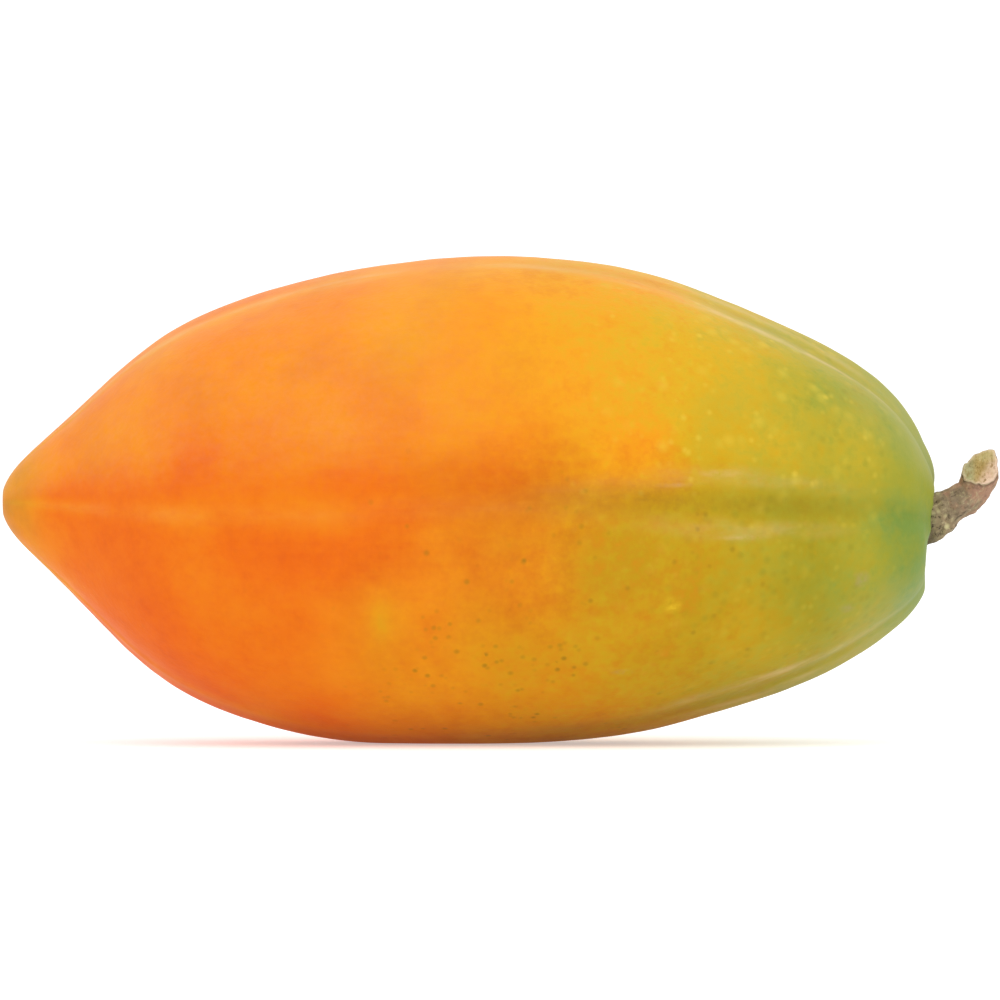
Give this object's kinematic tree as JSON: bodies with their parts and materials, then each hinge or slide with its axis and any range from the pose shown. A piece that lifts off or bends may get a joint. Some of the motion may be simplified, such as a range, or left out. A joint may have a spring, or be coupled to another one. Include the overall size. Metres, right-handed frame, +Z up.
{
  "type": "papaya",
  "caption": "Whole ripe papaya lying on its side: a long five-lobed fruit with a blunt pointed tip and a short bent stalk stub at the other end.",
  "frame": {"origin": "on the resting surface, under the middle of the bounding box of fruit and stalk", "axes": "+X along the fruit's axis from its pointed blossom tip towards the stalk, +Z up, -Y the front"},
  "size_m": [0.2888, 0.1418, 0.1408],
  "materials": {
    "papaya_skin": "satin",
    "stalk_bark": "matte"
  },
  "bodies": {
    "root": {"fruit": "papaya_skin", "stem": "stalk_bark"}
  },
  "joints": []
}
